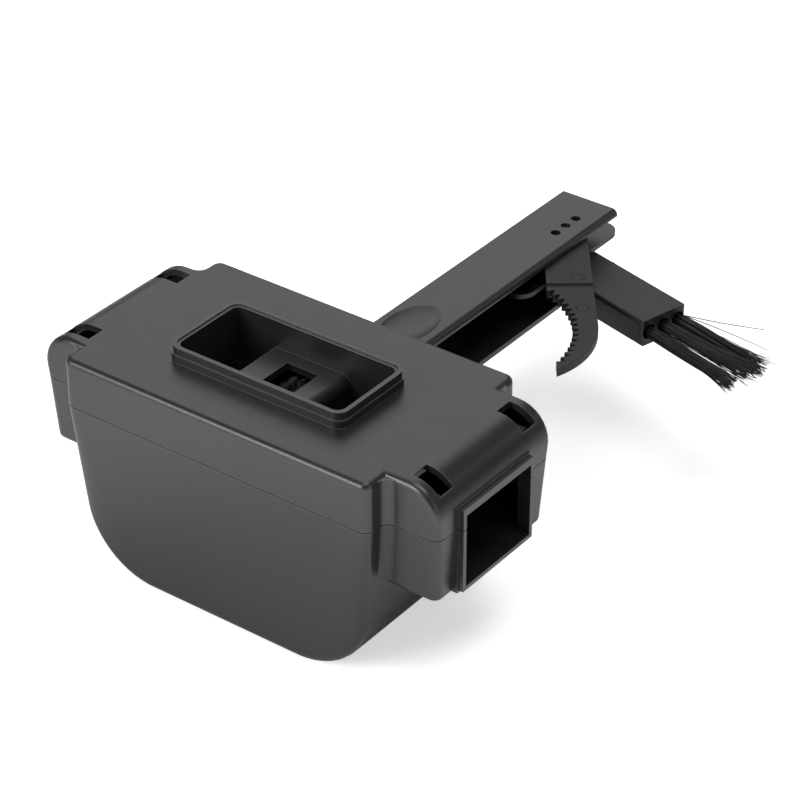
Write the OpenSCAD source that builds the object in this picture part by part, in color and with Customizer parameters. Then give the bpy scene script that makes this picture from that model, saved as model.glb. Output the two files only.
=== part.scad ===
// Bike chain cleaner: a solvent tank and cover that close round the chain, brush wheels inside,
// and a channel handle that holds a swing-out sprocket claw and a swing-out brush.
// The origin is the middle of the tank's flat base. X runs along the chain, Y out to the handle.

/* [Body] */
// Length of the main body at the parting line
body_len = 119; // [112:1:126]
// Depth of the main body at the parting line
body_dep = 76; // [72:1:80]
// Height from the base to the top of the cover
body_h = 77.5; // [76:0.5:80]
// Height of the upper cover
cover_h = 17; // [16:0.5:18]
// Wall thickness of the cover and tank
wall = 2.2; // [1.8:0.1:2.4]
// Taper of each end wall of the tank
end_taper = 3.2; // [2:0.1:4]
// Taper of each long wall of the tank
side_taper = 2.2; // [1.5:0.1:2.5]
// Radius of the tank's belly
belly_r = 27; // [25:0.5:29]
// Radius of the tank's bottom edges
base_r = 3; // [2.5:0.1:3.5]
// Radius of the vertical corners
corner_r = 3.2; // [2.8:0.1:4]
// Fillet round the top of the cover
top_r = 2; // [1.5:0.1:2.4]
// Shadow groove at the parting line
seam_gap = 0.35; // [0.25:0.05:0.4]

/* [Shoulders and chain tunnels] */
// Length over both shoulders
shoulder_len = 154.5; // [150:0.5:158]
// Depth of the shoulders
shoulder_dep = 58; // [56:1:62]
// How far the shoulders stand off the middle of the main body
shoulder_shift = 1.4; // [0:0.1:2]
// How far the shoulders reach below the parting line
shoulder_drop = 23.8; // [23.6:0.1:25]
// Large rounding of each shoulder's outer top edge
shoulder_round = 11.5; // [10:0.5:13]
// Radius of the hollow corner between shoulder and main body
nook_r = 3.5; // [2.5:0.1:4]
// Width of the chain tunnel
tunnel_w = 33.2; // [32:0.2:34]
// Rise of the chain tunnel above the parting line
tunnel_rise = 4.7; // [4.4:0.1:5.2]
// Depth of the chain tunnel below the parting line
tunnel_sink = 21; // [20:0.1:21.2]
// Wall of the tunnel's rim
rim_wall = 1.4; // [1.2:0.1:1.6]
// How far the rim stands out from the shoulder
rim_out = 2.2; // [1.8:0.1:2.6]
// Thickness of the rim's top bar
rim_bar = 2.3; // [2:0.1:2.8]
// How far the flange round the rim stands out
flange_out = 0.6; // [0.5:0.1:1]
// How far the tunnels stand off the middle plane
tunnel_back = 1.2; // [0.8:0.1:1.4]

/* [Latches] */
// Length of a latch window along the chain
window_len = 9.8; // [9:0.1:10.5]
// Width of a latch window
window_wid = 7; // [6.5:0.1:7.5]
// Distance from the tunnel middle to a window's inner edge
window_in = 64.6; // [64:0.1:65.5]
// How much further in the inlet's windows reach
window_more = 3.2; // [2.5:0.1:3.3]
// Distance from the middle plane to a window's near edge
window_side = 17.8; // [17.5:0.1:18.2]
// Thickness of a latch tongue
tongue_t = 1.8; // [1.6:0.1:2]

/* [Filler funnel] */
// Outer length of the funnel rim
funnel_len = 68.4; // [66:0.2:70]
// Outer width of the funnel rim
funnel_wid = 34.1; // [33:0.1:35]
// Height of the funnel rim above the cover
funnel_h = 5.4; // [5:0.1:6]
// Wall of the funnel rim
funnel_wall = 2.3; // [2.2:0.1:2.6]
// Corner radius of the funnel rim
funnel_r = 4; // [3.5:0.1:4.5]
// Depth of the well below the top of the cover
well_drop = 15; // [14.5:0.1:15.2]
// How far the funnel stands off the middle plane
funnel_back = 2.2; // [1.8:0.1:2.4]
// Length of the bridge across the well
bridge_len = 30; // [29:0.5:32]
// Depth of the bridge's top below the top of the cover
bridge_drop = 4.7; // [4.4:0.1:5]
// Rounding of the bridge's outlet end
bridge_round = 4; // [3:0.1:4.5]
// Side of the square drip hole
drip_hole = 12.4; // [12:0.1:12.8]

/* [Handle] */
// Length of the handle from its seat on the tank
handle_len = 131.4; // [131:0.2:136]
// Width of the handle
handle_w = 23.4; // [23:0.1:25]
// Height of the handle
handle_h = 24; // [24:0.1:25]
// Thickness of the handle's top plate
plate_t = 2.4; // [2.2:0.1:2.6]
// Thickness of the handle's back wall
back_t = 2.2; // [2:0.1:2.4]
// Thickness of the handle's bottom plate
floor_t = 2.6; // [2.4:0.1:2.8]
// Height of the rounded lip along the top plate
lip_h = 2.6; // [2.6:0.05:2.7]
// Radius of the lip's outer corner
lip_r = 2.2; // [1.8:0.1:2.3]
// Width of the thumb dish
dish_w = 17; // [16:0.5:18]
// Length of the thumb dish
dish_len = 28; // [26:1:30]
// Depth of the thumb dish
dish_deep = 1.5; // [1.2:0.1:1.7]
// Diameter of the three holes through the top plate
hole_d = 3.6; // [3.5:0.05:3.7]
// Pitch of the three holes
hole_pitch = 6.15; // [5.8:0.05:6.5]
// Length of the shelf between the tools
shelf_len = 60.5; // [58:0.5:62]
// Thickness of the shelf
shelf_t = 1.6; // [1.5:0.05:1.8]

/* [Claw] */
// Reach of the claw from its pivot
claw_reach = 87; // [85:0.5:88]
// Thickness of the claw's blade
claw_t = 3; // [2.6:0.1:3.2]
// Radius of the toothed inner edge
tooth_arc_r = 40.3; // [39.5:0.1:41]
// Number of teeth
teeth = 15; // [13:1:17]
// Depth of the teeth
tooth_deep = 2.3; // [1.8:0.1:2.6]
// Angle of the claw from the chain direction, as swung out
claw_angle = -52.6; // [-60:0.1:-45]

/* [Tool brush] */
// Length of the holder from its pivot
holder_len = 50.5; // [49:0.5:52]
// Width of the holder
holder_w = 20.4; // [20:0.1:20.8]
// Length of the bristles beyond the holder
bristle_len = 42; // [38:1:43]
// Diameter of a tuft where it leaves the holder
tuft_d = 5.4; // [5:0.1:5.6]
// Pitch of the tufts
tuft_pitch = 6.6; // [6.4:0.1:6.8]
// Thickness of one strand
strand_d = 0.42; // [0.36:0.02:0.46]
// Angle of the brush from the chain direction, as swung out
brush_angle = -14.5; // [-20:0.1:-10]

/* [Brush wheels] */
// Outer radius of the lower brush wheels
wheel_r = 18; // [17:0.2:18.4]
// Width of the lower brush wheels
wheel_w = 26; // [24:0.5:26.5]
// Distance of each lower axle from the middle
wheel_off = 20; // [19.5:0.1:21]
// Height of the lower axles
wheel_z = 31; // [30:0.2:31.5]
// Outer radius of the upper brush wheel
upper_r = 8; // [7.6:0.1:8.2]
// Width of the upper brush wheel
upper_w = 18; // [16:0.5:19]
// Diameter of the lower axles
axle_d = 4; // [3.6:0.1:4.4]
// Diameter of the axles in the cover
top_axle_d = 3; // [2.8:0.1:3.2]
// Radius of the guide rollers
guide_r = 5; // [4.8:0.1:5.2]
// Width of the guide rollers
guide_w = 16; // [15:0.5:17]

/* [Hidden] */
$fn = 64;

// Overrun of every cut, and the fine step that a hull's slabs have
over = 1;
slab = 0.1;
// Clearances: round running fits, threads, strand rings and the pivot pin, and faces that pass
run_fit = 0.08;
thread_fit = 0.02;
ring_fit = 0.05;
pin_fit = 0.09;
face_gap = 0.25;

parting = body_h - cover_h;
half_len = body_len / 2;
half_dep = body_dep / 2;
low_len = half_len - end_taper;
low_dep = half_dep - side_taper;
shoulder_end = shoulder_len / 2;
shoulder_half = shoulder_dep / 2;
shoulder_z = parting - shoulder_drop;
shoulder_taper = 1.2;
tunnel_top = parting + tunnel_rise;
tunnel_floor = parting - tunnel_sink;
rim_half = tunnel_w / 2 + rim_wall;
flange_wide = rim_wall / 2;

// Seat of the handle on the tank, and the tool pivot, from the parting line and the seat
handle_x = -0.9;
seat_out = 0.6;
handle_drop = 0.3;
seat_y = half_dep + seat_out;
handle_top = parting - handle_drop;
handle_low = handle_top - handle_h;
handle_end = seat_y + handle_len;
root_t = 3;
root_in = 1;
pivot_side = 3.5;
pivot_in = 20.1;
pivot_x = handle_x + pivot_side;
pivot_y = handle_end - pivot_in;
shelf_out = 4.5;
shelf_rise = 10.3;
shelf_z = handle_low + floor_t + shelf_rise;
claw_drop = 1.3;
claw_z = handle_top - plate_t - claw_drop - claw_t;
holder_low = handle_low + floor_t + face_gap;
holder_top = shelf_z - face_gap;
holder_mid = (holder_low + holder_top) / 2;

// Handle screws
screw_d = 3.5;
screw_head_d = 6.6;
screw_head_t = 2.2;
screw_len = 14;
cross_w = 0.9;
screw_rise = 6;
screw_mid = (handle_low + handle_top) / 2;
pad_out = 0.9;
screw_seat = low_dep - wall - pad_out;
boss_d = 7.6;
boss_len = 10;
pad_w = 12;

// Pivot pin
pin_d = hole_d - 2 * pin_fit;
pin_head_d = 7;
pin_head_t = 1.5;
pin_sunk = 0.8;

// Hub of the wheels, and the tube that the strands stand on
hub_r = 5.5;
ring_t = 1.6;
hub_side = 1;
upper_hub_r = 3;
upper_ring_t = 1;
wheel_around = 14;
wheel_thick = 1.6;
upper_around = 12;
upper_thick = 1;
axle_more = 1;
upper_slack = 0.45;
upper_z = body_h - bridge_drop - wall - upper_slack - upper_r;
guide_x = 48;
guide_z = parting + 3;
ear_t = 2;
ear_wall = 2;
ear_gap = 0.5;

// Frame of the lower wheels
frame_y = 16;
frame_t = 2.4;
frame_half = 42;
frame_top = wheel_z + 8;
frame_bar = 4;
foot_half = 27;
brush_z = 34;
brush_h = 18;
brush_half = 7;
backing_t = 1.8;

plastic = [0.13, 0.13, 0.135];
soft_black = [0.07, 0.07, 0.075];
inner_grey = [0.30, 0.31, 0.33];
steel = [0.72, 0.73, 0.75];

// A plate with round corners, centred, from circles and squares
module round_plate(l, w, r, h) {
    linear_extrude(h) round_outline(l, w, r);
}

module round_outline(l, w, r) {
    square([l - 2 * r, w], center = true);
    square([l, w - 2 * r], center = true);
    for (sx = [-1, 1]) for (sy = [-1, 1])
        translate([sx * (l / 2 - r), sy * (w / 2 - r)]) circle(r);
}

// A ring of round section, which rounds an edge inside a hull
module edge_ring(r, edge) {
    rotate_extrude($fn = 32) intersection() {
        translate([r - edge, 0]) circle(edge, $fn = 16);
        translate([0, -edge]) square([r, 2 * edge]);
    }
}

// The flesh of a hollow vertical corner, its round side towards +X and +Y
module nook(h) {
    linear_extrude(h) difference() {
        translate([-corner_r, -corner_r]) square(corner_r + nook_r);
        translate([nook_r, nook_r]) circle(nook_r);
    }
}

module nooks(z, h) {
    for (sx = [-1, 1]) for (sy = [-1, 1])
        translate([sx * half_len, sy * shoulder_half, z])
            mirror([sx < 0 ? 1 : 0, 0, 0]) mirror([0, sy < 0 ? 1 : 0, 0]) nook(h);
}

// Below the parting line the hollow corners lean in with the tank's tapered walls
module tapered_nooks() {
    lean = atan(end_taper / (parting - belly_r));
    tuck = atan(shoulder_taper / shoulder_drop);
    for (sx = [-1, 1]) for (sy = [-1, 1])
        translate([sx * half_len, sy * shoulder_half, parting])
            mirror([sx < 0 ? 1 : 0, 0, 0]) mirror([0, sy < 0 ? 1 : 0, 0])
                rotate([-tuck, lean, 0]) translate([0, 0, top_r - shoulder_drop])
                    nook(shoulder_drop - top_r / 2);
}

// Upper cover
module cover_block() {
    hull() for (sx = [-1, 1]) for (sy = [-1, 1])
        translate([sx * (half_len - corner_r), sy * (half_dep - corner_r), parting]) {
            cylinder(r = corner_r, h = slab, $fn = 32);
            translate([0, 0, cover_h - top_r]) edge_ring(corner_r, top_r);
        }
}

module cover_shoulder(sx) {
    inner_x = half_len - 2 * corner_r - sx * shoulder_shift;
    hull() for (sy = [-1, 1]) {
        translate([sx * (shoulder_end - corner_r), sy * (shoulder_half - corner_r), parting])
            cylinder(r = corner_r, h = slab, $fn = 32);
        translate([sx * (shoulder_end - shoulder_round), sy * (shoulder_half - top_r),
            body_h - shoulder_round])
            rotate([90, 0, 0]) edge_ring(shoulder_round, top_r);
        translate([sx * inner_x, sy * (shoulder_half - top_r), body_h - top_r])
            sphere(top_r, $fn = 16);
        translate([sx * inner_x, sy * (shoulder_half - top_r), parting])
            cylinder(r = top_r, h = slab, $fn = 32);
    }
}

// Inside of a shoulder: a straight channel with the same large rounding, less the wall
module shoulder_hollow(z0, z1, round_top) {
    hollow_end = shoulder_end - wall;
    hollow_r = shoulder_round - wall;
    translate([0, shoulder_half - wall, 0]) rotate([90, 0, 0])
        linear_extrude(shoulder_dep - 2 * wall) {
            translate([-hollow_end + (round_top ? hollow_r : 0), z0])
                square([2 * hollow_end - (round_top ? 2 * hollow_r : 0), z1 - z0]);
            translate([-hollow_end, z0])
                square([2 * hollow_end, z1 - z0 - (round_top ? hollow_r : 0)]);
            if (round_top) for (sx = [-1, 1])
                translate([sx * (hollow_end - hollow_r), z1 - hollow_r]) circle(hollow_r);
        }
}

// The rim round a tunnel's mouth, with the low flange behind it, from z0 up to z1
module tunnel_rim(sx, z0, z1, low_extra, high_extra) {
    start = shoulder_end - wall;
    for (part = [[0, rim_out], [flange_wide, flange_out]]) {
        low = z0 - low_extra * part[0];
        high = z1 + high_extra * part[0];
        depth = wall + part[1];
        translate([sx * (start + depth / 2), -tunnel_back, (low + high) / 2])
            cube([depth, 2 * (rim_half + part[0]), high - low], center = true);
    }
}

// What the tunnel's mouth cuts out of an end wall and its rim
module tunnel_mouth(sx) {
    translate([sx * shoulder_end, -tunnel_back, (tunnel_top + tunnel_floor) / 2])
        cube([6 * wall, tunnel_w, tunnel_top - tunnel_floor], center = true);
}

module funnel_solid() {
    step = 0.4;
    step_h = funnel_h / 2;
    translate([shoulder_shift, -funnel_back, 0]) {
        translate([0, 0, body_h - wall])
            round_plate(funnel_len - 2 * step, funnel_wid - 2 * step, funnel_r, funnel_h + wall);
        translate([0, 0, body_h - wall])
            round_plate(funnel_len, funnel_wid, funnel_r, wall + step_h);
        translate([0, 0, body_h - well_drop])
            round_plate(funnel_len - 2 * step, funnel_wid - 2 * step, funnel_r, well_drop);
    }
}

module funnel_hollow() {
    groove = 0.45;
    translate([shoulder_shift, -funnel_back, 0]) {
        translate([0, 0, body_h - well_drop - over])
            round_plate(funnel_len - 2 * funnel_wall, funnel_wid - 2 * funnel_wall,
                funnel_r - funnel_wall / 2, well_drop + funnel_h + 2 * over);
        translate([0, 0, body_h + funnel_h - groove])
            round_plate(funnel_len - funnel_wall, funnel_wid - funnel_wall, funnel_r, over);
    }
}

// The bridge: a hump across the well, hollow below, with the square drip hole
module bridge() {
    top = body_h - bridge_drop;
    low = body_h - well_drop;
    well_w = funnel_wid - funnel_wall;
    half = bridge_len / 2;
    inner_r = bridge_round - wall;
    difference() {
        translate([0, well_w / 2 - funnel_back, 0]) rotate([90, 0, 0]) linear_extrude(well_w)
            difference() {
                hump(half, low, top, bridge_round);
                hump(half - wall, low - over, top - wall, inner_r);
            }
        translate([0, funnel_back / 2, top])
            cube([drip_hole, drip_hole, 2 * (wall + over)], center = true);
    }
}

module hump(half, low, top, r) {
    translate([-half, low]) square([2 * half - r, top - low]);
    translate([-half, low]) square([2 * half, top - low - r]);
    translate([half - r, top - r]) circle(r);
}

// Ears that carry the upper wheel's axle, below the well's long walls
module upper_ears() {
    ear_r = top_axle_d / 2 + ear_wall;
    step = 0.4;
    well_wall = funnel_wall - step;
    for (sy = [-1, 1])
        translate([0, sy * (funnel_wid / 2 - step - well_wall / 2) - funnel_back, upper_z])
            rotate([90, 0, 0])
                translate([0, 0, -well_wall / 2]) linear_extrude(well_wall) {
                    circle(ear_r);
                    translate([-ear_r, 0]) square([2 * ear_r, body_h - well_drop + over - upper_z]);
                }
}

// Ears that hang from the cover and carry a guide roller's axle
module guide_ears(sx) {
    ear_r = top_axle_d / 2 + ear_wall;
    for (sy = [-1, 1])
        translate([sx * guide_x, sy * (guide_w / 2 + ear_gap + ear_t / 2), guide_z])
            rotate([90, 0, 0]) translate([0, 0, -ear_t / 2]) linear_extrude(ear_t) {
                circle(ear_r);
                translate([-ear_r, 0]) square([2 * ear_r, body_h - wall / 2 - guide_z]);
            }
}

module latch_window(sx, sy, more) {
    translate([shoulder_shift + sx * (window_in + window_len / 2 - more / 2),
        sy * (window_side + window_wid / 2), body_h])
        cube([window_len + more, window_wid, 2 * shoulder_round], center = true);
}

module upper_cover() {
    color(plastic) difference() {
        union() {
            difference() {
                union() {
                    cover_block();
                    translate([shoulder_shift, 0, 0]) for (sx = [-1, 1]) cover_shoulder(sx);
                    nooks(parting, cover_h - top_r / 2);
                    translate([shoulder_shift, 0, 0]) for (sx = [-1, 1])
                        tunnel_rim(sx, parting, tunnel_top + rim_bar, 0, 1);
                }
                translate([-half_len + wall, -half_dep + wall, parting - over])
                    cube([body_len - 2 * wall, body_dep - 2 * wall, cover_h - wall + over]);
                translate([0, 0, parting - cover_h / 2])
                    cube([2 * shoulder_len, 2 * body_dep, cover_h], center = true);
                funnel_hollow();
                translate([shoulder_shift, 0, 0])
                    shoulder_hollow(parting - over, body_h - wall, true);
                for (sx = [-1, 1]) {
                    translate([shoulder_shift, 0, 0]) tunnel_mouth(sx);
                    for (sy = [-1, 1]) latch_window(sx, sy, sx < 0 ? window_more : 0);
                }
            }
            difference() {
                funnel_solid();
                funnel_hollow();
            }
            bridge();
            upper_ears();
            translate([shoulder_shift, 0, 0]) for (sx = [-1, 1]) guide_ears(sx);
        }
        translate([shoulder_shift, 0, 0]) for (sx = [-1, 1])
            translate([sx * guide_x, 0, guide_z]) rotate([90, 0, 0])
                cylinder(d = top_axle_d + 2 * run_fit, h = 2 * guide_w, center = true);
        translate([0, 0, upper_z]) rotate([90, 0, 0])
            cylinder(d = top_axle_d + 2 * run_fit, h = 2 * funnel_wid, center = true);
    }
}

// Lower tank
module tank_block(t) {
    hull() {
        for (sx = [-1, 1]) for (sy = [-1, 1])
            translate([sx * (half_len - corner_r), sy * (half_dep - corner_r), parting - slab])
                cylinder(r = corner_r - t, h = slab + t, $fn = 32);
        for (sx = [-1, 1]) for (sy = [-1, 1])
            translate([sx * (low_len - belly_r), sy * (low_dep - base_r), belly_r])
                rotate([90, 0, 0]) rotate_extrude($fn = 96)
                    translate([belly_r - base_r, 0]) circle(base_r - t, $fn = 16);
    }
}

module tank_shoulder(sx) {
    inner_x = half_len - 2 * corner_r - end_taper - sx * shoulder_shift;
    low_end = shoulder_end - shoulder_taper;
    low_half = shoulder_half - shoulder_taper;
    hull() for (sy = [-1, 1]) {
        translate([sx * (shoulder_end - corner_r), sy * (shoulder_half - corner_r), parting - slab])
            cylinder(r = corner_r, h = slab, $fn = 32);
        translate([sx * (low_end - corner_r), sy * (low_half - corner_r), shoulder_z + top_r])
            edge_ring(corner_r, top_r);
        translate([sx * inner_x, sy * (shoulder_half - corner_r), parting - slab])
            cylinder(r = corner_r, h = slab, $fn = 32);
        translate([sx * inner_x, sy * (low_half - corner_r), shoulder_z + top_r])
            edge_ring(corner_r, top_r);
    }
}

// A latch tongue with its foot on the shoulder's long wall
module tongue(sx, sy) {
    tongue_y = window_side + window_wid - 2 * tongue_t;
    side_gap = 1.5;
    tongue_w = window_len - 2 * side_gap;
    tongue_in = 0.7;
    foot_drop = 9;
    foot_z = parting - foot_drop;
    foot_d = shoulder_half - wall / 2 - tongue_y;
    foot_h = 4;
    tongue_drop = 6;
    tongue_top = body_h - tongue_drop;
    nib_r = 0.75 * tongue_t;
    nib_drop = 1;
    translate([sx * (window_in + window_len / 2 - tongue_in), 0, 0]) {
        translate([-tongue_w / 2, sy > 0 ? tongue_y : -tongue_y - tongue_t, foot_z])
            cube([tongue_w, tongue_t, tongue_top - foot_z]);
        translate([-tongue_w / 2, sy > 0 ? tongue_y : -tongue_y - foot_d, foot_z])
            cube([tongue_w, foot_d, foot_h]);
        translate([-tongue_w / 2, sy * (tongue_y + nib_r), tongue_top - nib_drop])
            rotate([0, 90, 0]) cylinder(r = nib_r, h = tongue_w);
    }
}

module lower_tank() {
    rib_t = 2;
    rib_h = 5;
    color(plastic) difference() {
        union() {
            difference() {
                union() {
                    tank_block(0);
                    translate([shoulder_shift, 0, 0]) for (sx = [-1, 1]) {
                        tank_shoulder(sx);
                        tunnel_rim(sx, tunnel_floor - rim_wall, parting, 1, 0);
                    }
                    tapered_nooks();
                    translate([handle_x - handle_w / 2, half_dep - 2 * wall, handle_low])
                        cube([handle_w, seat_y - half_dep + 2 * wall, handle_h]);
                }
                tank_block(wall);
                translate([shoulder_shift, 0, 0])
                    shoulder_hollow(tunnel_floor, parting + over, false);
                translate([shoulder_shift, 0, 0]) for (sx = [-1, 1]) tunnel_mouth(sx);
                seam_cut();
            }
            translate([shoulder_shift, 0, 0])
                for (sx = [-1, 1]) for (sy = [-1, 1]) tongue(sx, sy);
            translate([handle_x - pad_w / 2, screw_seat, screw_mid - screw_rise - pad_w / 3])
                cube([pad_w, half_dep - wall / 2 - screw_seat, 2 * screw_rise + 2 * pad_w / 3]);
            for (sy = [-1, 1])
                translate([-foot_half / 2, sy * (frame_y + frame_t + face_gap + rib_t / 2) - rib_t / 2,
                    wall / 2])
                    cube([foot_half, rib_t, rib_h + wall / 2]);
        }
        for (s = [-1, 1])
            translate([handle_x, 0, screw_mid + s * screw_rise]) rotate([-90, 0, 0])
                cylinder(d = screw_d + 2 * run_fit, h = seat_y + over);
    }
}

// Nothing of the walls stands above the parting line, and a shadow groove runs round it: the
// outer half of the rim stands a little lower than the seat inside it
module seam_cut() {
    lip = wall / 2;
    translate([-shoulder_len, -body_dep, parting]) cube([2 * shoulder_len, 2 * body_dep, top_r]);
    translate([0, 0, parting - seam_gap]) linear_extrude(over) difference() {
        square([2 * shoulder_len, 2 * body_dep], center = true);
        round_outline(body_len - 2 * lip, body_dep - 2 * lip, corner_r - lip);
        translate([shoulder_shift, 0])
            round_outline(shoulder_len - 2 * lip, shoulder_dep - 2 * lip, corner_r - lip);
    }
}

// Handle
module handle_profile() {
    w = handle_w;
    h = handle_h;
    edge = 1.2;
    difference() {
        union() {
            translate([edge, 0]) square([w - 2 * edge, h - lip_r]);
            translate([0, edge]) square([w, h - lip_r - edge]);
            translate([edge, h - lip_r]) square([w - edge - lip_r, lip_r]);
            translate([0, h - lip_r]) square([lip_r, lip_r - edge]);
            translate([edge, h - edge]) circle(edge);
            translate([edge, edge]) circle(edge);
            translate([w - edge, edge]) circle(edge);
            translate([w - lip_r, h - lip_r]) circle(lip_r);
        }
        translate([back_t, floor_t]) square([w - 2 * back_t, h - floor_t - plate_t]);
        translate([back_t, floor_t]) square([w, h - floor_t - lip_h]);
    }
}

module handle() {
    color(plastic) difference() {
        union() {
            translate([handle_x - handle_w / 2, handle_end, handle_low]) rotate([90, 0, 0])
                linear_extrude(handle_len) handle_profile();
            translate([handle_x - handle_w / 2 + root_in, seat_y, handle_low + root_in])
                cube([handle_w - 2 * root_in, root_t, handle_h - 2 * root_in]);
            shelf();
            for (s = [-1, 1])
                translate([handle_x, seat_y, screw_mid + s * screw_rise]) rotate([-90, 0, 0])
                    cylinder(d = boss_d, h = root_t + boss_len);
        }
        dish();
        for (i = [-1, 0, 1])
            translate([pivot_x, pivot_y + i * hole_pitch, handle_top - plate_t - over])
                cylinder(d = hole_d, h = plate_t + 2 * over);
        translate([pivot_x, pivot_y, handle_low - over])
            cylinder(d = hole_d, h = handle_h - plate_t);
        translate([pivot_x, pivot_y, handle_low - over])
            cylinder(d = pin_head_d + 2 * face_gap, h = pin_head_t + over);
        for (s = [-1, 1])
            translate([handle_x, seat_y - over, screw_mid + s * screw_rise]) rotate([-90, 0, 0])
                cylinder(d = screw_d + 2 * thread_fit, h = root_t + boss_len);
    }
}

module shelf() {
    shelf_in = 0.6;
    shelf_w = handle_w - back_t / 2 - shelf_in;
    shelf_r = 6;
    translate([handle_x - handle_w / 2 + back_t / 2, handle_end + shelf_out - shelf_len, shelf_z])
        linear_extrude(shelf_t) {
            square([shelf_w - shelf_r, shelf_len - 2 * shelf_out]);
            translate([0, shelf_out]) square([shelf_w - shelf_r, shelf_len - shelf_out]);
            translate([0, shelf_r]) square([shelf_w, shelf_len - 2 * shelf_r]);
            translate([shelf_w - shelf_r, shelf_r]) circle(shelf_r);
            translate([shelf_w - shelf_r, shelf_len - shelf_r]) circle(shelf_r);
        }
}

// The thumb dish is a shallow ellipsoid sunk into the top plate
module dish() {
    flat = 0.35;
    dish_side = 0.7;
    dish_back = 1.5;
    dish_r = dish_w / 2;
    rise = dish_r * flat;
    cap = sqrt(1 - pow(1 - dish_deep / rise, 2));
    translate([handle_x - dish_side, seat_y + dish_len - dish_back,
        handle_top + rise - dish_deep])
        scale([1 / cap, dish_len / dish_w / cap, flat]) sphere(dish_r, $fn = 48);
}

module handle_screws() {
    color(steel) for (s = [-1, 1])
        translate([handle_x, screw_seat, screw_mid + s * screw_rise]) rotate([-90, 0, 0]) {
            difference() {
                translate([0, 0, -screw_head_t]) cylinder(d = screw_head_d, h = screw_head_t);
                translate([0, 0, -screw_head_t]) for (a = [0, 90]) rotate([0, 0, a])
                    cube([screw_head_d * 0.6, cross_w, screw_head_t], center = true);
            }
            cylinder(d = screw_d, h = screw_len);
        }
}

module tool_pivot_pin() {
    color(steel) translate([pivot_x, pivot_y, handle_low]) {
        cylinder(d = pin_d, h = handle_h - pin_sunk);
        translate([0, 0, slab]) cylinder(d = pin_head_d, h = pin_head_t - slab);
    }
}

// Claw: X runs along the blade from the pivot, the teeth face -Y
module claw_outline() {
    inner = 8.4;
    outer = 7.4;
    bend = 59;
    nose = 7.8;
    bow_r = (pow(claw_reach - bend, 2) + pow(outer + nose, 2)) / (2 * (outer + nose));
    arc_off = 1.2;
    arc_x = bend + arc_off;
    arc_y = -arc_off - tooth_arc_r;
    sweep = 67.5;
    start = 124;
    pitch = sweep / teeth;
    difference() {
        union() {
            circle(outer);
            translate([0, -outer]) square([bend / 2, 2 * outer]);
            translate([outer, -inner]) square([bend - outer, inner + outer]);
            intersection() {
                translate([bend, outer - bow_r]) circle(bow_r, $fn = 128);
                translate([bend - slab, -nose]) square([claw_reach - bend + over, outer + nose]);
            }
        }
        translate([arc_x, arc_y]) {
            circle(tooth_arc_r, $fn = 128);
            for (i = [0:teeth - 1]) rotate(start - (i + 0.5) * pitch) tooth_gap(pitch);
        }
    }
}

// The gap between two teeth: a steep flank and a long one
module tooth_gap(pitch) {
    half = tooth_arc_r * sin(pitch / 2) * 0.94;
    inside = tooth_arc_r - tooth_deep / 4;
    polygon([[inside, -half], [tooth_arc_r + tooth_deep, half * 0.35],
        [tooth_arc_r + tooth_deep * 0.8, half * 0.75], [inside, half]]);
}

module claw() {
    root_len = 34;
    root_rise = 0.7;
    hub_d = 12;
    color(plastic) translate([pivot_x, pivot_y, 0]) rotate([0, 0, claw_angle]) difference() {
        union() {
            translate([0, 0, claw_z]) linear_extrude(claw_t) claw_outline();
            translate([0, 0, claw_z]) linear_extrude(claw_t + root_rise) intersection() {
                claw_outline();
                translate([-hub_d, -hub_d]) square([root_len + hub_d, 2 * hub_d]);
            }
            translate([0, 0, shelf_z + shelf_t + face_gap])
                cylinder(d = hub_d, h = handle_top - plate_t - shelf_z - shelf_t - 2 * face_gap);
        }
        translate([0, 0, shelf_z]) cylinder(d = pin_d + 2 * run_fit, h = handle_h);
    }
}

// Tool brush: X runs along the brush from the pivot
module tool_brush_holder() {
    tail_r = holder_w / 2;
    edge = 1.5;
    socket = 9;
    h = holder_top - holder_low;
    color(plastic) translate([pivot_x, pivot_y, 0]) rotate([0, 0, brush_angle]) difference() {
        union() {
            translate([0, 0, holder_low]) cylinder(r = tail_r, h = h);
            translate([0, 0, holder_low]) intersection() {
                translate([0, -tail_r, 0]) cube([holder_len, 2 * tail_r, h]);
                translate([holder_len / 2, 0, h / 2]) rotate([0, 90, 0])
                    translate([0, 0, -holder_len]) round_plate(h, 2 * tail_r, edge, 2 * holder_len);
                round_plate(2 * holder_len, 2 * tail_r, edge, h);
            }
        }
        translate([0, 0, holder_low - over]) cylinder(d = pin_d + 2 * run_fit, h = h + 2 * over);
        for (i = [-1, 0, 1])
            translate([holder_len - socket, i * tuft_pitch, holder_mid]) rotate([0, 90, 0])
                cylinder(d = tuft_d + 2 * run_fit, h = socket + over);
    }
}

// One straight strand from a to b, three-sided, as one closed form
module strand(a, b, d, sides) {
    dir = (b - a) / norm(b - a);
    side = cross(dir, abs(dir[2]) < 0.9 ? [0, 0, 1] : [1, 0, 0]);
    u = side / norm(side);
    v = cross(dir, u);
    ring = [for (k = [0:sides - 1]) d / 2 * (cos(k * 360 / sides) * u + sin(k * 360 / sides) * v)];
    polyhedron([for (p = ring) a + p, for (p = ring) b + p],
        concat([[for (k = [0:sides - 1]) k]], [[for (k = [sides - 1:-1:0]) sides + k]],
            [for (k = [0:sides - 1]) [k, sides + k, sides + (k + 1) % sides, (k + 1) % sides]]));
}

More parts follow.
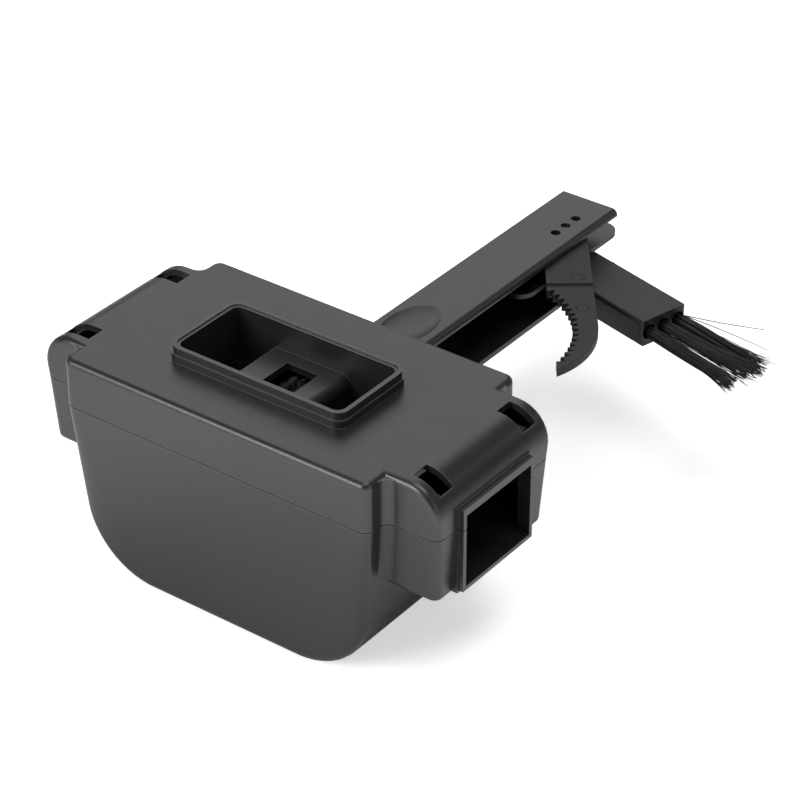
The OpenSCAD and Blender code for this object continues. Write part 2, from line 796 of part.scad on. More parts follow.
// Strands stand on a sunflower spiral, so that they spread evenly and never cross
module tuft(count, splay, bend) {
    root_r = tuft_d / 2 - strand_d;
    plug = 7;
    plug_in = 1;
    uneven = 1.5;
    translate([holder_len - plug - plug_in, 0, holder_mid]) rotate([0, 90, 0])
        cylinder(d = tuft_d, h = plug);
    for (n = [0:count - 1]) {
        r = root_r * sqrt((n + 0.5) / count);
        a = n * 137.508;
        reach = holder_len + bristle_len - uneven + uneven * sin(n * 71);
        strand([holder_len - 2 * plug_in, r * cos(a), holder_mid + r * sin(a)],
            [reach, splay * r * cos(a) + bend, holder_mid + splay * r * sin(a)], strand_d, 3);
    }
}

module tool_brush_bristles() {
    color(soft_black) translate([pivot_x, pivot_y, 0]) rotate([0, 0, brush_angle])
        for (i = [-1, 0, 1]) translate([0, i * tuft_pitch, 0]) tuft(88, 1.45, i < 0 ? -1.2 : 0.8);
}

// Brush frame
module brush_frame() {
    seat = wall;
    color(inner_grey) difference() {
        union() {
            for (sy = [-1, 1])
                translate([0, sy * (frame_y + frame_t / 2) + frame_t / 2, 0]) rotate([90, 0, 0])
                    linear_extrude(frame_t) difference() {
                        polygon([[-foot_half, seat], [foot_half, seat],
                            [frame_half, seat + frame_bar * 3], [frame_half, frame_top - frame_bar],
                            [frame_half - frame_bar, frame_top], [-frame_half + frame_bar, frame_top],
                            [-frame_half, frame_top - frame_bar], [-frame_half, seat + frame_bar * 3]]);
                        translate([-foot_half, seat + 1.5 * frame_bar])
                            square([2 * foot_half, wheel_z - seat - 4 * frame_bar]);
                    }
            for (sx = [-1, 1])
                translate([sx * (frame_half - frame_bar / 2), 0, seat + 4 * frame_bar])
                    cube([frame_bar, 2 * frame_y + frame_t, frame_bar * 0.75], center = true);
            translate([0, 0, seat + frame_bar / 2])
                cube([frame_bar * 1.5, 2 * frame_y + frame_t, frame_bar], center = true);
        }
        for (sx = [-1, 1])
            translate([sx * wheel_off, 0, wheel_z]) rotate([90, 0, 0])
                cylinder(d = axle_d + 2 * run_fit, h = 4 * frame_y, center = true);
    }
}

// Pin with a flat head at its near end, along Y from y0 to y1
module axle(x, z, d, y0, y1) {
    head_t = 1.2;
    color(steel) translate([x, y0, z]) rotate([-90, 0, 0]) {
        cylinder(d = d, h = y1 - y0);
        translate([0, 0, -head_t]) cylinder(d = d * 1.6, h = head_t);
    }
}

module lower_axle(sx) {
    reach = frame_y + frame_t;
    axle(sx * wheel_off, wheel_z, axle_d, -reach, reach + axle_more);
}

// A spool with two low flanges, which the strand ring sits between
module hub(x, z, r, w, bore) {
    color(inner_grey) translate([x, 0, z]) rotate([90, 0, 0]) difference() {
        union() {
            cylinder(r = r, h = w, center = true);
            for (s = [-1, 1]) translate([0, 0, s * (w / 2 - hub_side / 2)])
                cylinder(r = r + hub_side, h = hub_side, center = true);
        }
        cylinder(d = bore + 2 * run_fit, h = w + 2 * over, center = true);
    }
}

// Strands stand in rows round the hub, fused to a tube that slides over it
module wheel_bristles(x, z, r, w, core, tube, around, thick) {
    rows = 3;
    tube_w = w - 2 * hub_side - 2 * slab;
    color(soft_black) translate([x, 0, z]) {
        rotate([90, 0, 0]) difference() {
            cylinder(r = core + tube, h = tube_w, center = true);
            cylinder(r = core + ring_fit, h = tube_w + over, center = true);
        }
        for (row = [0:rows - 1]) for (k = [0:around - 1]) {
            a = (k + row / rows) * 360 / around;
            y = (row - (rows - 1) / 2) * (tube_w - 2 * thick) / (rows - 1);
            dir = [cos(a), 0, sin(a)];
            strand((core + tube / 2) * dir + [0, y, 0], r * dir + [0, y, 0], thick, 4);
        }
    }
}

// Side brush: a backing strip on the frame with rows of strands towards the chain
module side_brush(sy) {
    thick = 1.2;
    tip_y = 5;
    top_in = 1.5;
    drop = 2.4;
    color(soft_black) {
        translate([-brush_half, sy > 0 ? frame_y - backing_t : -frame_y, brush_z])
            cube([2 * brush_half, backing_t, brush_h]);
        for (i = [-2:2]) for (j = [0:2])
            translate([i * brush_half / 3, 0, brush_z + brush_h - top_in - j * drop])
                strand([0, sy * (frame_y - backing_t / 2), 0], [0, sy * tip_y, 0], thick, 4);
    }
}

// A roller with a shallow groove for the chain
module guide_roller(sx) {
    color(inner_grey) translate([shoulder_shift + sx * guide_x, 0, guide_z]) rotate([90, 0, 0])
        difference() {
            cylinder(r = guide_r, h = guide_w, center = true);
            difference() {
                cylinder(r = guide_r + over, h = guide_w / 2, center = true);
                cylinder(r = guide_r * 0.8, h = guide_w, center = true);
            }
            cylinder(d = top_axle_d + 2 * run_fit, h = guide_w + over, center = true);
        }
}

module guide_axle(sx) {
    reach = guide_w / 2 + ear_gap + ear_t;
    axle(shoulder_shift + sx * guide_x, guide_z, top_axle_d, -reach, reach + axle_more);
}

lower_tank();
upper_cover();
handle();
handle_screws();
tool_pivot_pin();
claw();
tool_brush_holder();
tool_brush_bristles();
brush_frame();
lower_axle(-1);  // inlet_brush_axle
hub(-wheel_off, wheel_z, hub_r, wheel_w, axle_d);  // inlet_brush_hub
wheel_bristles(-wheel_off, wheel_z, wheel_r, wheel_w, hub_r, ring_t, wheel_around, wheel_thick);  // inlet_brush_bristles
lower_axle(1);  // outlet_brush_axle
hub(wheel_off, wheel_z, hub_r, wheel_w, axle_d);  // outlet_brush_hub
wheel_bristles(wheel_off, wheel_z, wheel_r, wheel_w, hub_r, ring_t, wheel_around, wheel_thick);  // outlet_brush_bristles
axle(0, upper_z, top_axle_d, -funnel_wid / 2 - funnel_back + 2 * slab,  // upper_brush_axle
        funnel_wid / 2 - funnel_back);
hub(0, upper_z, upper_hub_r, upper_w, top_axle_d);  // upper_brush_hub
wheel_bristles(0, upper_z, upper_r, upper_w, upper_hub_r, upper_ring_t, upper_around,  // upper_brush_bristles
        upper_thick);
guide_roller(-1);  // inlet_guide_roller
guide_axle(-1);  // inlet_guide_axle
guide_roller(1);  // outlet_guide_roller
guide_axle(1);  // outlet_guide_axle
side_brush(-1);  // near_side_brush
side_brush(1);  // far_side_brush
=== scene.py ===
import math

import bmesh
import bpy
import numpy as np
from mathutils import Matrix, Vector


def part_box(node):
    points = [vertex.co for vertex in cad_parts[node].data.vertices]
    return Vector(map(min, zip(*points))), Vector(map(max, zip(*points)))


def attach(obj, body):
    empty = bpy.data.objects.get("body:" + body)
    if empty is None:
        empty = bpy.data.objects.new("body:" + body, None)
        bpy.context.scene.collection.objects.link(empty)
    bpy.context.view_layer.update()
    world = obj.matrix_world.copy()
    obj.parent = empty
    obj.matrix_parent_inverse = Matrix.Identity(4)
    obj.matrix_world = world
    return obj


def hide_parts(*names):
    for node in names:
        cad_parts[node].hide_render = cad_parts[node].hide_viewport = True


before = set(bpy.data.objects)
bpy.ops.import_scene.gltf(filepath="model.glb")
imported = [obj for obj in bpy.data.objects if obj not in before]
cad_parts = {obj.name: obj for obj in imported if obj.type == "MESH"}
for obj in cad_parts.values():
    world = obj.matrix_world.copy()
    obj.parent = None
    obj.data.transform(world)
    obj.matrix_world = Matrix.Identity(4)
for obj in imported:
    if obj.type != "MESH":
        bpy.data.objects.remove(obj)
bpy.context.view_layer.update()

# Camera
# A long lens on the outlet side of the handle, a little under a metre away and above the bench,
# as the object was photographed. The frame is square.
camera_yaw = 36.74
camera_tilt = 32.9
camera_lens = 133.2
camera_sensor = 36
camera_place = (0.4897, -0.5983, 0.5648)

camera = bpy.data.objects.new("camera", bpy.data.cameras.new("camera"))
bpy.context.scene.collection.objects.link(camera)
camera.data.lens = camera_lens
camera.data.sensor_width = camera_sensor
camera.location = camera_place
camera.rotation_euler = (math.radians(90 - camera_tilt), 0, math.radians(camera_yaw))
bpy.context.scene.camera = camera

# Lower tank
# Injection-moulded bath in black polypropylene with a fine spark-eroded grain. The two shoulders
# carry the rims of the chain tunnels, and the parting line is a shadow groove under the cover.


class Wire:
    """A node's output that adds Math nodes when it is used in an expression."""

    def __init__(self, recipe, socket):
        self.recipe, self.socket = recipe, socket

    def _math(self, operation, first, second):
        return self.recipe.add("ShaderNodeMath", {"operation": operation}, {0: first, 1: second})

    def __add__(self, other):
        return self._math("ADD", self, other)

    def __radd__(self, other):
        return self._math("ADD", other, self)

    def __sub__(self, other):
        return self._math("SUBTRACT", self, other)

    def __rsub__(self, other):
        return self._math("SUBTRACT", other, self)

    def __mul__(self, other):
        return self._math("MULTIPLY", self, other)

    def __rmul__(self, other):
        return self._math("MULTIPLY", other, self)

    def __truediv__(self, other):
        return self._math("DIVIDE", self, other)

    def __rtruediv__(self, other):
        return self._math("DIVIDE", other, self)

    def __pow__(self, other):
        return self._math("POWER", self, other)

    def __rpow__(self, other):
        return self._math("POWER", other, self)

    def clipped(self):
        """The value held between 0 and 1."""
        return self.recipe.add("ShaderNodeClamp", {}, {"Value": self})

    def fade(self, start, end):
        """0 where the value is at the start or before it, 1 from the end on, and even between."""
        return ((self - start) / (end - start)).clipped()

    def twin(self, name):
        """Another output of the same node."""
        return Wire(self.recipe, self.socket.node.outputs[name])


class Recipe:
    """A material that is being put together round one Principled shader."""

    def __init__(self, name, colour, roughness, metallic=0.0, specular=0.5):
        self.material = bpy.data.materials.new(name)
        self.material.use_nodes = True
        self.tree = self.material.node_tree
        self.shader = self.tree.nodes["Principled BSDF"]
        self.shader.inputs["Base Color"].default_value = (*colour, 1)
        self.shader.inputs["Roughness"].default_value = roughness
        self.shader.inputs["Metallic"].default_value = metallic
        self.shader.inputs["Specular IOR Level"].default_value = specular
        self.place = self.add("ShaderNodeTexCoord", {}, {}, out="Object")

    def add(self, kind, settings, sockets, out=0):
        """Adds a node of this type, with its settings first and then its sockets' values or links."""
        node = self.tree.nodes.new(kind)
        for name, value in settings.items():
            setattr(node, name, value)
        for name, value in sockets.items():
            if isinstance(value, Wire):
                self.tree.links.new(value.socket, node.inputs[name])
            else:
                node.inputs[name].default_value = value
        return Wire(self, node.outputs[out])

    def feed(self, name, value):
        """Links a value to one of the shader's own sockets."""
        self.tree.links.new(value.socket, self.shader.inputs[name])

    def noise(self, scale, detail, roughness=0.5):
        """Noise with spots of about 1 / scale metres, from 0 to 1."""
        return self.add("ShaderNodeTexNoise", {}, {
            "Vector": self.place, "Scale": scale, "Detail": detail, "Roughness": roughness})

    def axes(self):
        """The surface's place along X and along Y."""
        east = self.add("ShaderNodeSeparateXYZ", {}, {"Vector": self.place}, out="X")
        return east, east.twin("Y")

    def distance(self, x, y):
        """How far the surface is from an upright line through x and y."""
        east, north = self.axes()
        side, length = east - x, north - y
        return (side * side + length * length) ** 0.5

    def blend(self, factor, first, second):
        """The colour between two colours that the factor picks."""
        first = first if isinstance(first, Wire) else (*first, 1)
        second = second if isinstance(second, Wire) else (*second, 1)
        return self.add("ShaderNodeMix", {"data_type": "RGBA"}, {0: factor, 6: first, 7: second}, out=2)

    def edges(self, radius, gain):
        """1 along the sharp edges, 0 on the flats: how far a rounded normal leans from the real one."""
        rounded = self.add("ShaderNodeBevel", {"samples": 6}, {"Radius": radius})
        flat = self.add("ShaderNodeNewGeometry", {}, {}, out="Normal")
        along = self.add("ShaderNodeVectorMath", {"operation": "DOT_PRODUCT"},
                         {0: rounded, 1: flat}, out="Value")
        return ((1 - along) * gain).clipped()

    def dent(self, height, depth):
        """Turns a height into the shader's normal."""
        self.feed("Normal", self.add("ShaderNodeBump", {}, {"Height": height, "Distance": depth}))


def moulded_plastic(name, colour, rubbed_and_highlight, roughness, specular=0.5,
                    grain_size=0.00035, grain_depth=0.00003, rings=()):
    """Grained black plastic: a spark-eroded skin, slow flow marks that shade the colour, smears that
    change the shine, and paler, smoother edges: partly rubbed by hands, partly a painted highlight.
    A ring is the round mark of an ejector pin: its middle x and y, and its radius."""
    flow_scale, smear_scale = 26, 90
    rub_and_highlight_radius, rub_and_highlight_gain = 0.0005, 3.2
    rub_and_highlight_least, rub_and_highlight_by_smears = 0.35, 0.9
    flow_height = 0.6
    ring_width, ring_height = 0.00028, 5
    darkest, palest = 0.86, 1.12
    dulled_by_grain, dulled_by_smears, shined_by_rub = 0.1, 0.12, 0.1

    recipe = Recipe(name, colour, roughness, specular=specular)
    grain = recipe.noise(1 / grain_size, detail=3)
    flow = recipe.noise(flow_scale, detail=4, roughness=0.6)
    smears = recipe.noise(smear_scale, detail=5, roughness=0.65)
    worn_and_highlit = (recipe.edges(rub_and_highlight_radius, rub_and_highlight_gain) * (rub_and_highlight_least + smears * rub_and_highlight_by_smears)).clipped()
    height = grain + flow * flow_height
    for x, y, radius in rings:
        offset = (recipe.distance(x, y) - radius) / ring_width
        height = height + (1 - offset * offset).clipped() * ring_height
    tone = recipe.blend(flow.fade(1 / 7, 6 / 7),
                        [part * darkest for part in colour], [part * palest for part in colour])
    # Paler edges: partly rubbed wear, partly a painted highlight along every sharp edge.
    recipe.feed("Base Color", recipe.blend(worn_and_highlit, tone, rubbed_and_highlight))
    recipe.feed("Roughness", roughness + (grain - 0.5) * dulled_by_grain
                + (smears - 0.5) * dulled_by_smears - worn_and_highlit * shined_by_rub)
    recipe.dent(height, grain_depth)
    return recipe.material


def merged_copy(node, name, edge):
    """A copy of a CAD node with its triangles merged, flat faces joined up and its sharp edges
    rounded by a small radius, as a moulded edge is."""
    weld_distance = 2e-6
    flat_angle = math.radians(0.6)
    sharp_angle = math.radians(32)

    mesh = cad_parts[node].data.copy()
    mesh.name = name
    shape = bmesh.new()
    shape.from_mesh(mesh)
    bmesh.ops.remove_doubles(shape, verts=shape.verts, dist=weld_distance)
    bmesh.ops.dissolve_limit(shape, angle_limit=flat_angle, verts=shape.verts, edges=shape.edges)
    shape.to_mesh(mesh)
    shape.free()
    mesh.materials.clear()
    mesh.shade_smooth()
    mesh.set_sharp_from_angle(angle=sharp_angle)

    piece = bpy.data.objects.new(name, mesh)
    bpy.context.scene.collection.objects.link(piece)
    bevel = piece.modifiers.new("edge", "BEVEL")
    bevel.width = edge
    bevel.segments = 2
    bevel.limit_method = "ANGLE"
    bevel.angle_limit = sharp_angle
    bevel.harden_normals = True
    bevel.use_clamp_overlap = True
    bevel.miter_outer = "MITER_ARC"
    level = piece.modifiers.new("level", "WEIGHTED_NORMAL")
    level.mode = "FACE_AREA_WITH_ANGLE"
    level.keep_sharp = True
    return piece


# The second colour is for the edges: partly rubbed wear, partly a painted highlight.
shell_black = (0.011, 0.011, 0.0115)
shell_rubbed_and_highlight = (0.125, 0.125, 0.129)
shell_edge = 0.0003
shell_plastic = moulded_plastic("shell_plastic", shell_black, shell_rubbed_and_highlight, roughness=0.335)

tank = merged_copy("lower_tank", "lower_tank_shell", shell_edge)
tank.data.materials.append(shell_plastic)
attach(tank, "tank")
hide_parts("lower_tank")

# Upper cover
# The second half of the shell, moulded with the filler funnel, the bridge over its well and four
# latch windows. It clips over the tank's tongues.
cover = merged_copy("upper_cover", "upper_cover_shell", shell_edge)
cover.data.materials.append(shell_plastic)
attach(cover, "cover")
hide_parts("upper_cover")

# Handle
# An open channel moulded in one piece with the shelf between the two tools. It is screwed to the
# tank from inside.
handle_edge = 0.00025
handle = merged_copy("handle", "handle_channel", handle_edge)
handle.data.materials.append(shell_plastic)
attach(handle, "tank")
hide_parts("handle")

# Screws, pin and axles
# Drawn steel, cut to length and headed. The screws and the axles are left bright, and the pivot
# pin is blacked, so that it doesn't shine in the hole above it.


def drawn_steel(name, colour, roughness):
    """Drawn wire: fine marks in its height and its roughness, and a slow stain that darkens it."""
    mark_scale, stain_scale = 2400, 320
    mark_depth, mark_roughness = 0.00001, 0.16
    stain_share, stained = 0.8, 0.72

    recipe = Recipe(name, colour, roughness, metallic=1.0)
    marks = recipe.noise(mark_scale, detail=3)
    stain = recipe.noise(stain_scale, detail=4)
    recipe.feed("Base Color", recipe.blend((stain * stain_share).clipped(), colour,
                                           [part * stained for part in colour]))
    recipe.feed("Roughness", roughness + marks * mark_roughness)
    recipe.dent(marks, mark_depth)
    return recipe.material


def finish_node(name, material):
    """Gives a CAD node that stays as it is its material."""
    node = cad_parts[name]
    node.data.materials.clear()
    node.data.materials.append(material)


bright_steel = drawn_steel("drawn_steel", (0.62, 0.63, 0.65), roughness=0.3)
blacked_steel = drawn_steel("blacked_steel", (0.03, 0.03, 0.032), roughness=0.42)
for name in ("handle_screws", "inlet_brush_axle", "outlet_brush_axle",
             "upper_brush_axle", "inlet_guide_axle", "outlet_guide_axle"):
    finish_node(name, bright_steel)
finish_node("tool_pivot_pin", blacked_steel)

# Claw
# A flat toothed hook in the same plastic, glass-filled and duller, with two ejector marks. It turns
# on the pin over the shelf.
tool_pivot = (0.0026, 0.1499)
claw_turn = math.radians(-52.6)
claw_edge = 0.0002
ejector_radius = 0.0022
ejector_places = ((0.0301, 0.0023), (0.0489, 0.0028))


def from_pivot(along, across, turn):
    """X and Y of a place that is given along and across a tool: the place turned by the tool's
    angle, plus the pivot."""
    return (tool_pivot[0] + along * math.cos(turn) - across * math.sin(turn),
            tool_pivot[1] + along * math.sin(turn) + across * math.cos(turn))


ejector_marks = [(*from_pivot(along, across, claw_turn), ejector_radius)
                 for along, across in ejector_places]
# The second colour is for the edges: partly rubbed wear, partly a painted highlight.
claw_plastic = moulded_plastic("claw_plastic", (0.007, 0.007, 0.0073), (0.035, 0.035, 0.036),
                               roughness=0.50, specular=0.3, rings=ejector_marks)
claw = merged_copy("claw", "claw_blade", claw_edge)
claw.data.materials.append(claw_plastic)
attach(claw, "claw")
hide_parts("claw")

# Tool brush
# A solid plastic block with three bores, each with a tuft of black nylon that is stapled in. The
# tufts have spread with use, and a few hairs stand off.
block_edge = 0.0009
# The second colour is for the edges: partly rubbed wear, partly a painted highlight.
block_plastic = moulded_plastic("block_plastic", (0.008, 0.008, 0.0083), (0.045, 0.045, 0.046),
                                roughness=0.46, specular=0.36)
brush_block = merged_copy("tool_brush_holder", "tool_brush_block", block_edge)
brush_block.data.materials.append(block_plastic)
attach(brush_block, "tool_brush")
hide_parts("tool_brush_holder")


def nylon(name, colour, dusty, roughness):
    """Round nylon hair: nearly black, with a soft sheen and paler, dusty patches."""
    dust_scale, dulled_by_dust = 700, 0.2

    recipe = Recipe(name, colour, roughness)
    dust = recipe.noise(dust_scale, detail=4, roughness=0.6)
    recipe.feed("Base Color", recipe.blend(dust.fade(0.41, 0.864), colour, dusty))
    recipe.feed("Roughness", roughness + (dust - 0.4) * dulled_by_dust)
    return recipe.material


def hairs(name, paths, radius, sides, taper):
    """Tubes round many paths at once. Each ring of a tube is its path's point plus the radius times
    cos and sin round two directions square to the line from root to tip. The radius shrinks by the
    taper times the square of the way, and a point in the middle of each end ring closes the tube."""
    count, rings = paths.shape[:2]
    along = paths[:, -1] - paths[:, 0]
    along /= np.linalg.norm(along, axis=1, keepdims=True)
    aside = np.where(np.abs(along[:, 2:3]) < 0.9, [[0.0, 0.0, 1.0]], [[1.0, 0.0, 0.0]])
    across = np.cross(along, aside)
    across /= np.linalg.norm(across, axis=1, keepdims=True)
    upward = np.cross(along, across)
    turn = 2 * np.pi * np.arange(sides) / sides
    circle = (across[:, None, :] * np.cos(turn)[None, :, None]
              + upward[:, None, :] * np.sin(turn)[None, :, None])
    width = radius * (1 - taper * np.linspace(0, 1, rings) ** 2)
    points = paths[:, :, None, :] + width[None, :, None, None] * circle[:, None, :, :]
    points = np.concatenate([points.reshape(count, -1, 3), paths[:, [0, -1]]], axis=1)

    side = np.arange(sides)
    following = (side + 1) % sides
    ring = sides * np.arange(rings - 1)[:, None]
    quads = np.stack([ring + side, ring + following, ring + following + sides, ring + side + sides],
                     axis=-1).reshape(-1, 4)
    last = sides * (rings - 1)
    root_middle = np.full(sides, sides * rings)
    tip_middle = root_middle + 1
    caps = np.concatenate([np.stack([following, side, root_middle], axis=-1),
                           np.stack([last + side, last + following, tip_middle], axis=-1)])
    start = (np.arange(count) * (sides * rings + 2))[:, None, None]
    quads = (quads[None] + start).reshape(-1, 4)
    caps = (caps[None] + start).reshape(-1, 3)

    mesh = bpy.data.meshes.new(name)
    mesh.from_pydata(points.reshape(-1, 3), [], quads.tolist() + caps.tolist())
    mesh.shade_smooth()
    piece = bpy.data.objects.new(name, mesh)
    bpy.context.scene.collection.objects.link(piece)
    return piece


def tuft_paths(chance, count, bore_radius, length, fan, lean, points):
    """Paths of one tuft along +X. A root is a random place on the bore's disc. A hair's Y and Z are
    its root, plus its drift times the way to the power 1.7, plus its wave times sin(5 way), plus its
    fray times the way to the power 6, which splays the ends. The drift is the root times (fan - 1),
    plus the lean. Some hairs are up to a tenth short."""
    drift_spread, wave_spread, fray_spread = 0.00035, 0.00016, 0.0008
    shortfall = 0.10

    place = np.sqrt(chance.random(count))[:, None] * bore_radius
    angle = chance.random(count)[:, None] * 2 * np.pi
    root = place * np.concatenate([np.cos(angle), np.sin(angle)], axis=1)
    drift = root * (fan - 1) + lean + chance.normal(0, drift_spread, (count, 2))
    wave = chance.normal(0, wave_spread, (count, 2))
    fray = chance.normal(0, fray_spread, (count, 2))
    reach = length * (1 - shortfall * chance.random(count) ** 2)
    way = np.linspace(0, 1, points)
    paths = np.empty((count, points, 3))
    paths[:, :, 0] = reach[:, None] * way
    paths[:, :, 1:] = (root[:, None, :] + drift[:, None, :] * (way ** 1.7)[None, :, None]
                       + wave[:, None, :] * np.sin(way * 5.0)[None, :, None]
                       + fray[:, None, :] * (way ** 6)[None, :, None])
    return paths


brush_turn = math.radians(-14.5)
block_reach = 0.0505
root_depth = 0.001
tuft_middle = 0.04395
tuft_step = 0.0066
tuft_radius = 0.0020
tuft_length = 0.0422
tuft_hairs = 130
tool_hair_radius = 0.00018
path_points = 11
chance = np.random.default_rng(7)
tufts = []
for step, fan, lean in ((-1, 1.2, (-0.0008, -0.0004)),
                        (0, 1.5, (0.0014, 0.0002)),
                        (1, 1.5, (-0.0010, 0.0003))):
    paths = tuft_paths(chance, tuft_hairs, tuft_radius, tuft_length, fan, np.array(lean), path_points)
    paths += np.array([block_reach - root_depth, step * tuft_step, 0])
    tufts.append(paths)

# Six single hairs, each from its root to its tip, along, across and above the block's middle. A
# hair bows to one side by a half wave.
stray_ends = np.array([
    [[0.0500, 0.0082, 0.0008], [0.0774, 0.0209, 0.0030]],
    [[0.0500, 0.0078, 0.0012], [0.0861, 0.0137, 0.0020]],
    [[0.0500, -0.0010, 0.0], [0.0973, -0.0020, 0.0010]],
    [[0.0500, -0.0068, 0.0], [0.0941, -0.0096, -0.0010]],
    [[0.0500, 0.0075, 0.0], [0.0925, 0.0112, 0.0005]],
    [[0.0500, 0.0010, 0.0], [0.0926, -0.0029, -0.0015]]])
stray_bows = 0.0007 * np.array([-1, 1, 1, -1, 1, -1])
half_wave = 3.1
way = np.linspace(0, 1, path_points)[None, :, None]
strays = stray_ends[:, :1] + (stray_ends[:, 1:] - stray_ends[:, :1]) * way
strays[:, :, 1] += stray_bows[:, None] * np.sin(way[:, :, 0] * half_wave)

flat_paths = np.concatenate(tufts + [strays])
brush_x, brush_y = from_pivot(flat_paths[:, :, 0], flat_paths[:, :, 1], brush_turn)
brush_paths = np.stack([brush_x, brush_y, tuft_middle + flat_paths[:, :, 2]], axis=-1)
black_nylon = nylon("black_nylon", (0.003, 0.003, 0.0033), (0.010, 0.010, 0.0105), roughness=0.48)
tool_hairs = hairs("tool_brush_hairs", brush_paths, tool_hair_radius, sides=4, taper=0.35)
tool_hairs.data.materials.append(black_nylon)
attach(tool_hairs, "tool_brush")
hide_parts("tool_brush_bristles")

# Brush frame, hubs and rollers
# Inner parts moulded in a plain grey-black acetal, left smooth so that grit washes off. The hubs
# and rollers are pressed on their axles, and the frame stands on the tank's floor.
# The second colour is for the edges: partly rubbed wear, partly a painted highlight.
inner_plastic = moulded_plastic("inner_plastic", (0.022, 0.022, 0.023), (0.05, 0.05, 0.052),
                                roughness=0.36, grain_size=0.0008, grain_depth=0.00001)
for name in ("brush_frame", "inlet_brush_hub", "outlet_brush_hub", "upper_brush_hub",
             "inlet_guide_roller", "outlet_guide_roller"):
    finish_node(name, inner_plastic)

# Brush wheels
# Tufts of the same nylon, stapled in rows round a tube that slides over each hub. They scrub the
# chain's rollers from below and from above.


def wheel_paths(chance, middle, core, reach, width, rows, around, per_tuft):
    """Paths of a wheel's hairs. Tuft k of a row stands at the angle (k + row / rows) / around of a
    turn; each hair runs from the core's radius out to the reach, less up to 5 percent, fanned a
    little from its tuft, with a slant along the axle and a tilt that grows with the way squared."""
    angle_spread, side_spread = 0.035, 0.0005
    slant_spread, tilt_spread = 0.0007, 0.04
    shortfall = 0.05

    row, tuft = np.meshgrid(np.arange(rows), np.arange(around), indexing="ij")
    angle = ((tuft + row / rows) / around * 2 * np.pi).ravel()
    side = ((row - (rows - 1) / 2) * width / rows).ravel()
    count = angle.size * per_tuft
    angle = np.repeat(angle, per_tuft) + chance.normal(0, angle_spread, count)
    side = np.repeat(side, per_tuft) + chance.normal(0, side_spread, count)
    slant = chance.normal(0, slant_spread, count)
    tilt = chance.normal(0, tilt_spread, count)
    way = np.linspace(0, 1, 3)
    out = core + (reach * (1 - shortfall * chance.random(count)) - core)[:, None] * way
    turned = angle[:, None] + tilt[:, None] * way ** 2
    return np.stack([middle[0] + out * np.cos(turned),
                     middle[1] + side[:, None] + slant[:, None] * way,
                     middle[2] + out * np.sin(turned)], axis=-1)


tuft_rows = 5
wheel_tuft_hairs = 30
wheel_hair_radius = 0.00014
for wheel, body, core, reach, width, around in (
        ("inlet_brush", "inlet_brush_wheel", 0.0054, 0.0179, 0.0225, 14),
        ("outlet_brush", "outlet_brush_wheel", 0.0054, 0.0179, 0.0225, 14),
        ("upper_brush", "upper_brush_wheel", 0.0029, 0.0079, 0.0150, 12)):
    low_corner, high_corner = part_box(wheel + "_bristles")
    middle = (low_corner + high_corner) / 2
    paths = wheel_paths(chance, middle, core, reach, width, tuft_rows, around, wheel_tuft_hairs)
    wheel_hairs = hairs(wheel + "_hairs", paths, wheel_hair_radius, sides=3, taper=0.3)
    wheel_hairs.data.materials.append(black_nylon)
    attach(wheel_hairs, body)
    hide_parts(wheel + "_bristles")

# Side brushes
# Two short brushes, each a backing strip on the frame with rows of nylon set into it. They scrub
# the chain's side plates.


def strip_paths(chance, low_corner, high_corner, root, inner):
    """Paths of a side brush's hairs. Roots stand at Y = root, on a grid of spots over the strip, each
    scattered a little. A hair runs to Y = inner, less up to 6 percent, while X and Z drift."""
    columns, rows, per_spot = 9, 4, 26
    margin, row_step = 0.0012, 0.0021
    spot_spread, drift_spread = 0.00028, 0.0004
    shortfall = 0.06

    column, row = np.meshgrid(np.arange(columns), np.arange(rows), indexing="ij")
    column, row = np.repeat(column.ravel(), per_spot), np.repeat(row.ravel(), per_spot)
    span = high_corner.x - low_corner.x - 2 * margin
    x = low_corner.x + margin + span * column / (columns - 1)
    z = high_corner.z - margin - row_step * row
    spot = chance.normal(0, spot_spread, (2, column.size))
    drift = chance.normal(0, drift_spread, (2, column.size))
    tip = root + (inner - root) * (1 - shortfall * chance.random(column.size))
    way = np.linspace(0, 1, 3)
    return np.stack([(x + spot[0])[:, None] + drift[0][:, None] * way,
                     root + (tip - root)[:, None] * way,
                     (z + spot[1])[:, None] + drift[1][:, None] * way], axis=-1)


strip_thick = 0.0018
strip_edge = 0.0003
root_share = 0.6
side_hair_radius = 0.00013
for name, inward in (("near_side_brush", 1), ("far_side_brush", -1)):
    low_corner, high_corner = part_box(name)
    outer = low_corner.y if inward > 0 else high_corner.y
    inner = high_corner.y if inward > 0 else low_corner.y

    strip_size = [high_corner.x - low_corner.x, strip_thick, high_corner.z - low_corner.z]
    strip_middle = [(low_corner.x + high_corner.x) / 2, outer + inward * strip_thick / 2,
                    (low_corner.z + high_corner.z) / 2]
    bpy.ops.mesh.primitive_cube_add(size=1)
    strip = bpy.context.object
    strip.name = name + "_strip"
    corners = np.empty(8 * 3)
    strip.data.vertices.foreach_get("co", corners)
    corners = corners.reshape(8, 3) * strip_size + strip_middle
    strip.data.vertices.foreach_set("co", corners.ravel())
    rounded = strip.modifiers.new("edge", "BEVEL")
    rounded.width = strip_edge
    rounded.segments = 2
    strip.data.materials.append(inner_plastic)
    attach(strip, "tank")

    root = outer + inward * strip_thick * root_share
    paths = strip_paths(chance, low_corner, high_corner, root, inner)
    side_hairs = hairs(name + "_hairs", paths, side_hair_radius, sides=3, taper=0.3)
    side_hairs.data.materials.append(black_nylon)
    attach(side_hairs, "tank")
    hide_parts(name)

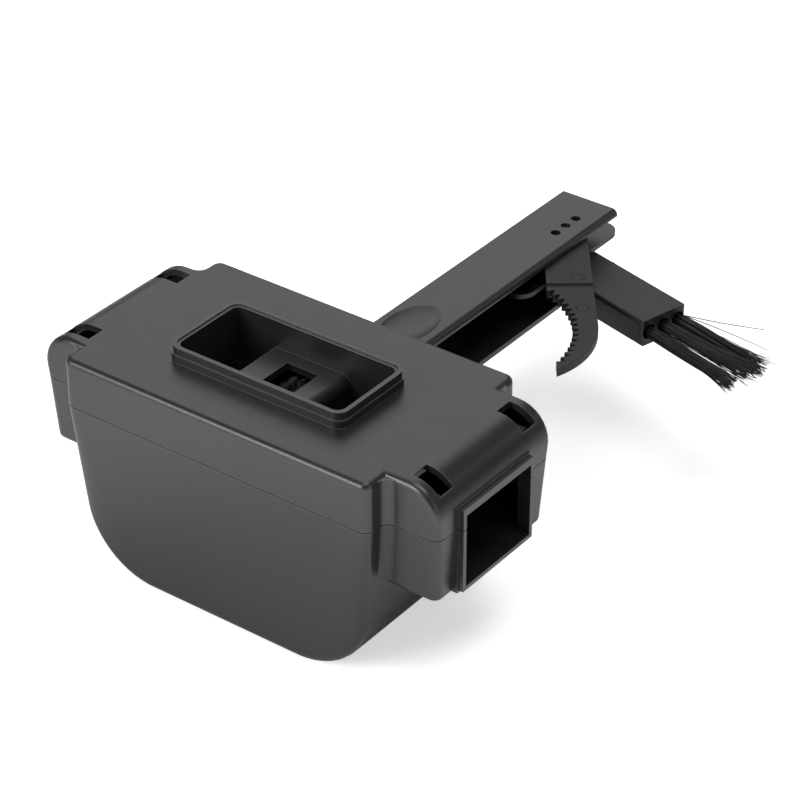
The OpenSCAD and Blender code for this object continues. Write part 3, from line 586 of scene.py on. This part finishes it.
# Floor and light
# A pale bench under five softboxes: one overhead, a wide one behind, a strong one at the front left,
# and two weak ones on the right. A dim white world fills the shadows.
bench_tone = (0.80, 0.80, 0.80)
bench_width = 12
bench_strength = 1.5
seen_glow = 0.36
world_strength = 0.15

bpy.ops.mesh.primitive_plane_add(size=bench_width)
floor = bpy.context.object
floor.name = "bench"

# The camera sees the bench glow up to white. A glossy ray sees it glow only away from the object and
# towards the front: a painted reflection on the shell, with painted shade that keeps its foot and back
# dark.
bench = Recipe("bench_white", bench_tone, roughness=0.9)
bench.shader.inputs["Emission Strength"].default_value = bench_strength
seen = bench.add("ShaderNodeLightPath", {}, {}, out="Is Camera Ray")
mirrored = seen.twin("Is Glossy Ray")
east, north = bench.axes()
# Painted shade and reflection: the glossy glow fades out within 8 cm of the object and is kept to the
# front.
painted_shade_away = bench.distance(0, 0).fade(0.08, 0.18)
front = north.fade(0.233, -0.1) * east.fade(-0.218, -0.036)
glow_and_painted_reflection = (seen * seen_glow + mirrored * painted_shade_away * front).clipped()
bench.feed("Emission Color", bench.blend(glow_and_painted_reflection, (0, 0, 0), (1, 1, 1)))
floor.data.materials.append(bench.material)


def softbox(name, place, target, size, watts):
    """A square area lamp that faces a point."""
    lamp = bpy.data.objects.new(name, bpy.data.lights.new(name, "AREA"))
    lamp.data.shape = "SQUARE"
    lamp.data.size = size
    lamp.data.energy = watts
    lamp.location = place
    aim = Vector(target) - Vector(place)
    lamp.rotation_euler = aim.to_track_quat("-Z", "Y").to_euler()
    bpy.context.scene.collection.objects.link(lamp)


softbox("overhead_box", place=(0.2, 0.1, 1.5), target=(0, 0.05, 0), size=1.0, watts=12)
softbox("back_box", place=(-1.0, 1.3, 1.35), target=(0, 0.05, 0.05), size=1.6, watts=10.3)
softbox("front_box", place=(-0.55, -1.4, 0.75), target=(0, 0, 0.04), size=0.9, watts=31)
softbox("side_box", place=(1.5, 0.1, 0.6), target=(0, 0, 0.04), size=0.8, watts=4)
softbox("far_box", place=(0.9, 1.5, 0.8), target=(0, 0.05, 0.05), size=0.6, watts=1.2)

world = bpy.data.worlds.new("studio")
world.use_nodes = True
background = world.node_tree.nodes["Background"]
background.inputs["Color"].default_value = (1, 1, 1, 1)
background.inputs["Strength"].default_value = world_strength
bpy.context.scene.world = world
bpy.context.scene.view_settings.view_transform = "Standard"
